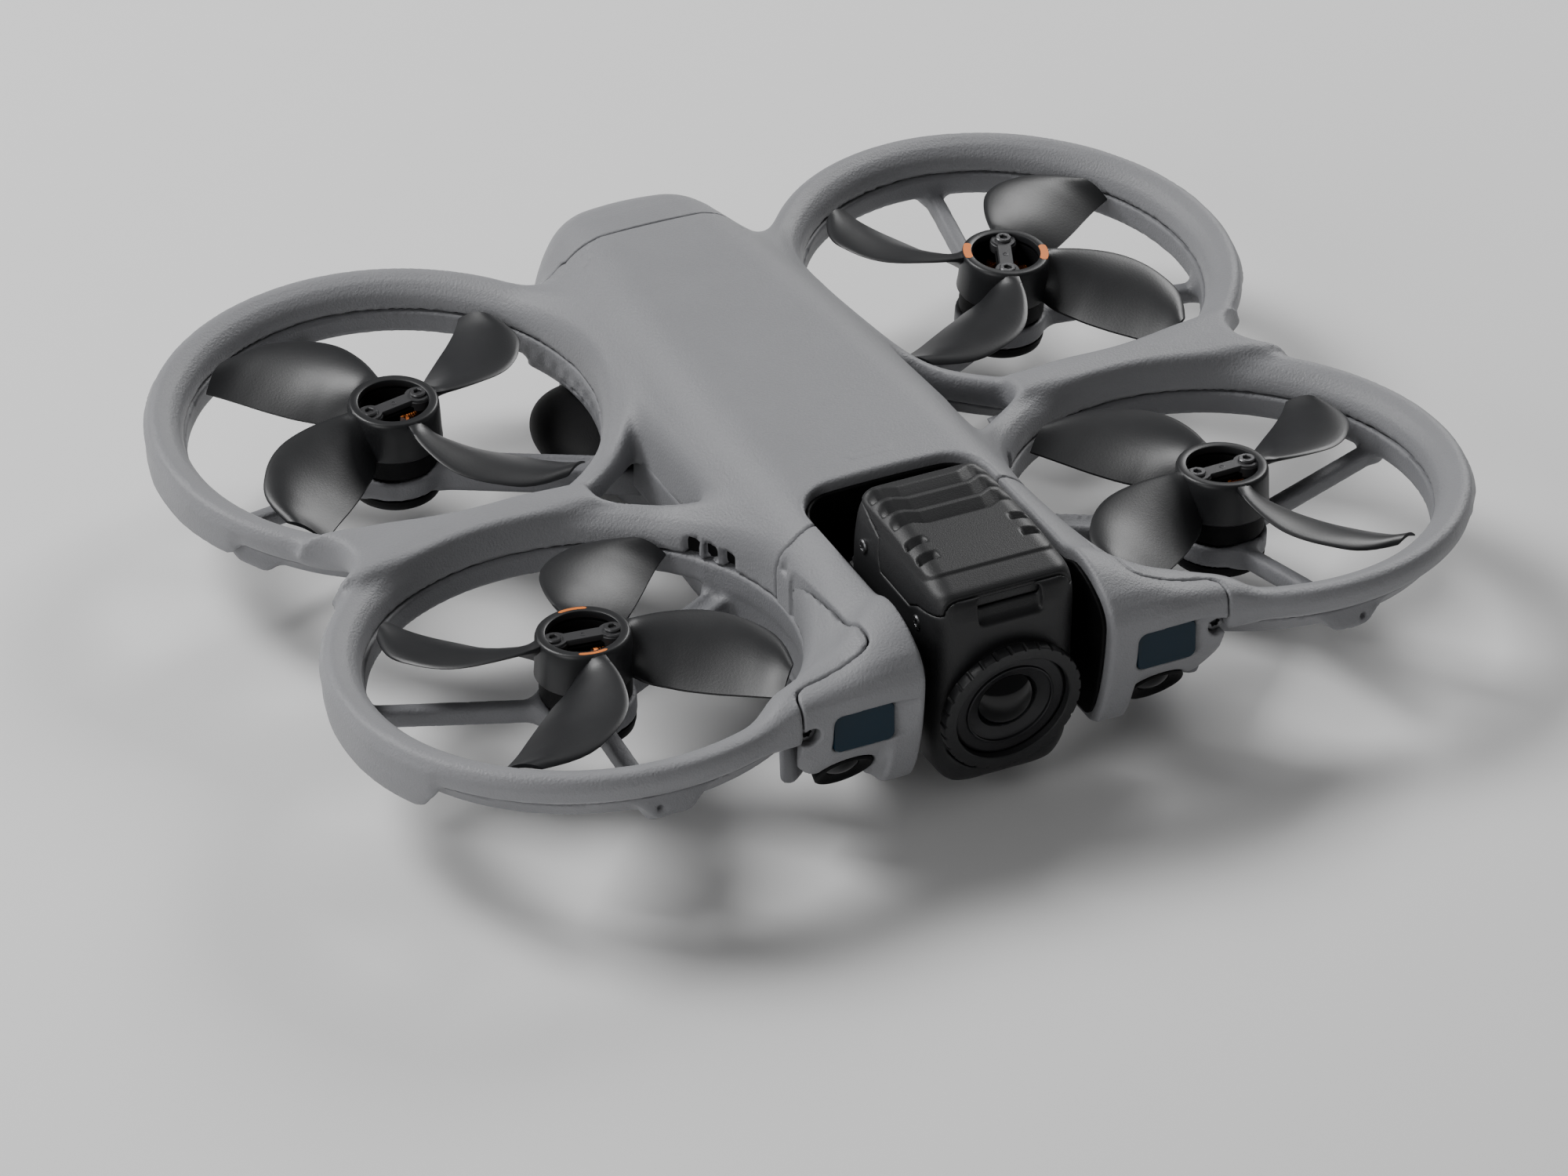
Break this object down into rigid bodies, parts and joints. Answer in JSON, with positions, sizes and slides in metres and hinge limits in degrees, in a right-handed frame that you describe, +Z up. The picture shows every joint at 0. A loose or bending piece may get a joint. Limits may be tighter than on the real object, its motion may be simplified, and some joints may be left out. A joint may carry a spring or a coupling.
{
  "type": "ducted fpv drone",
  "caption": "Ducted camera drone: shrouded propellers around a moulded spine, a tilting camera pod between two front prongs and a slide-out battery.",
  "frame": {"origin": "middle of the footprint, on the surface that the belly pads rest on", "axes": "+Z up, -Y forward towards the camera pod, +X to the right of a person who faces the nose; left and right in the names are this person's"},
  "size_m": [0.2476, 0.2, 0.0556],
  "materials": {
    "grey_shell": "fine matte grain",
    "grey_frame": "fine matte grain, darker lower moulding",
    "pod_charcoal": "satin charcoal",
    "black_plastic": "satin black",
    "blade_black": "smooth satin black",
    "ring_black": "black anodised, knurled",
    "dark_steel": "blackened",
    "copper_winding": "enamelled copper wire",
    "lens_glass": "polished, coated",
    "window_blue": "smoked dark blue",
    "soft_rubber": "matte",
    "board_green": "solder resist"
  },
  "bodies": {
    "airframe": {"top_shell": "grey_shell", "front_left_guard_ring": "grey_shell", "front_left_duct_frame": "grey_frame", "front_left_stator": "copper_winding", "front_right_guard_ring": "grey_shell", "front_right_duct_frame": "grey_frame", "front_right_stator": "copper_winding", "rear_left_guard_ring": "grey_shell", "rear_left_duct_frame": "grey_frame", "rear_left_stator": "copper_winding", "rear_right_guard_ring": "grey_shell", "rear_right_duct_frame": "grey_frame", "rear_right_stator": "copper_winding", "belly_shell": "black_plastic", "left_prong_cover": "grey_shell", "left_ranging_window": "window_blue", "left_vision_lens": "lens_glass", "left_prong_screw": "dark_steel", "right_prong_cover": "grey_shell", "right_ranging_window": "window_blue", "right_vision_lens": "lens_glass", "right_prong_screw": "dark_steel", "tilt_motor": "black_plastic", "tilt_bearing": "black_plastic", "main_board": "board_green", "heat_sink": "dark_steel", "data_port": "dark_steel", "downward_sensor_window": "lens_glass", "left_belly_pad": "soft_rubber", "right_belly_pad": "soft_rubber"},
    "front_left_rotor": {"front_left_motor_bell": "black_plastic", "front_left_propeller": "blade_black", "front_left_propeller_screw_a": "dark_steel", "front_left_propeller_screw_b": "dark_steel"},
    "front_right_rotor": {"front_right_motor_bell": "black_plastic", "front_right_propeller": "blade_black", "front_right_propeller_screw_a": "dark_steel", "front_right_propeller_screw_b": "dark_steel"},
    "rear_left_rotor": {"rear_left_motor_bell": "black_plastic", "rear_left_propeller": "blade_black", "rear_left_propeller_screw_a": "dark_steel", "rear_left_propeller_screw_b": "dark_steel"},
    "rear_right_rotor": {"rear_right_motor_bell": "black_plastic", "rear_right_propeller": "blade_black", "rear_right_propeller_screw_a": "dark_steel", "rear_right_propeller_screw_b": "dark_steel"},
    "camera_pod": {"pod_hood": "pod_charcoal", "pod_housing": "pod_charcoal", "front_lens_ring": "ring_black", "front_lens": "lens_glass", "rear_lens_ring": "ring_black", "rear_lens": "lens_glass", "left_pivot_cap": "pod_charcoal", "right_pivot_cap": "pod_charcoal"},
    "battery_pack": {"battery": "grey_shell"},
    "power_button": {"power_button": "black_plastic"},
    "left_battery_latch": {"left_battery_latch": "black_plastic"},
    "right_battery_latch": {"right_battery_latch": "black_plastic"},
    "port_cover": {"port_cover": "soft_rubber"}
  },
  "joints": [
    {"name": "front_left_spin", "type": "hinge", "parent": "airframe", "child": "front_left_rotor", "pos_m": [-0.072, -0.048, 0.036], "axis": [-0.0244, 0.0471, 0.9986], "continuous": true},
    {"name": "front_right_spin", "type": "hinge", "parent": "airframe", "child": "front_right_rotor", "pos_m": [0.072, -0.048, 0.036], "axis": [0.0244, 0.0471, 0.9986], "continuous": true},
    {"name": "rear_left_spin", "type": "hinge", "parent": "airframe", "child": "rear_left_rotor", "pos_m": [-0.072, 0.048, 0.0346], "axis": [-0.0244, -0.0471, 0.9986], "continuous": true},
    {"name": "rear_right_spin", "type": "hinge", "parent": "airframe", "child": "rear_right_rotor", "pos_m": [0.072, 0.048, 0.0346], "axis": [0.0244, -0.0471, 0.9986], "continuous": true},
    {"name": "camera_tilt", "type": "hinge", "parent": "airframe", "child": "camera_pod", "pos_m": [0, -0.066, 0.031], "axis": [-1, 0, 0], "range_deg": [-45, 90]},
    {"name": "battery_slide", "type": "slide", "parent": "airframe", "child": "battery_pack", "axis": [0, 1, 0], "range_m": [0, 0.07]},
    {"name": "left_latch_press", "type": "slide", "parent": "battery_pack", "child": "left_battery_latch", "axis": [1, 0, 0], "range_m": [0, 0.0012], "stiffness_N_per_m": 300},
    {"name": "right_latch_press", "type": "slide", "parent": "battery_pack", "child": "right_battery_latch", "axis": [-1, 0, 0], "range_m": [0, 0.0012], "stiffness_N_per_m": 300},
    {"name": "power_press", "type": "slide", "parent": "battery_pack", "child": "power_button", "axis": [0, -1, 0], "range_m": [0, 0.0006], "stiffness_N_per_m": 300},
    {"name": "port_cover_hinge", "type": "hinge", "parent": "airframe", "child": "port_cover", "pos_m": [-0.027, 0, 0.0123], "axis": [0, -1, 0], "range_deg": [0, 100]}
  ]
}
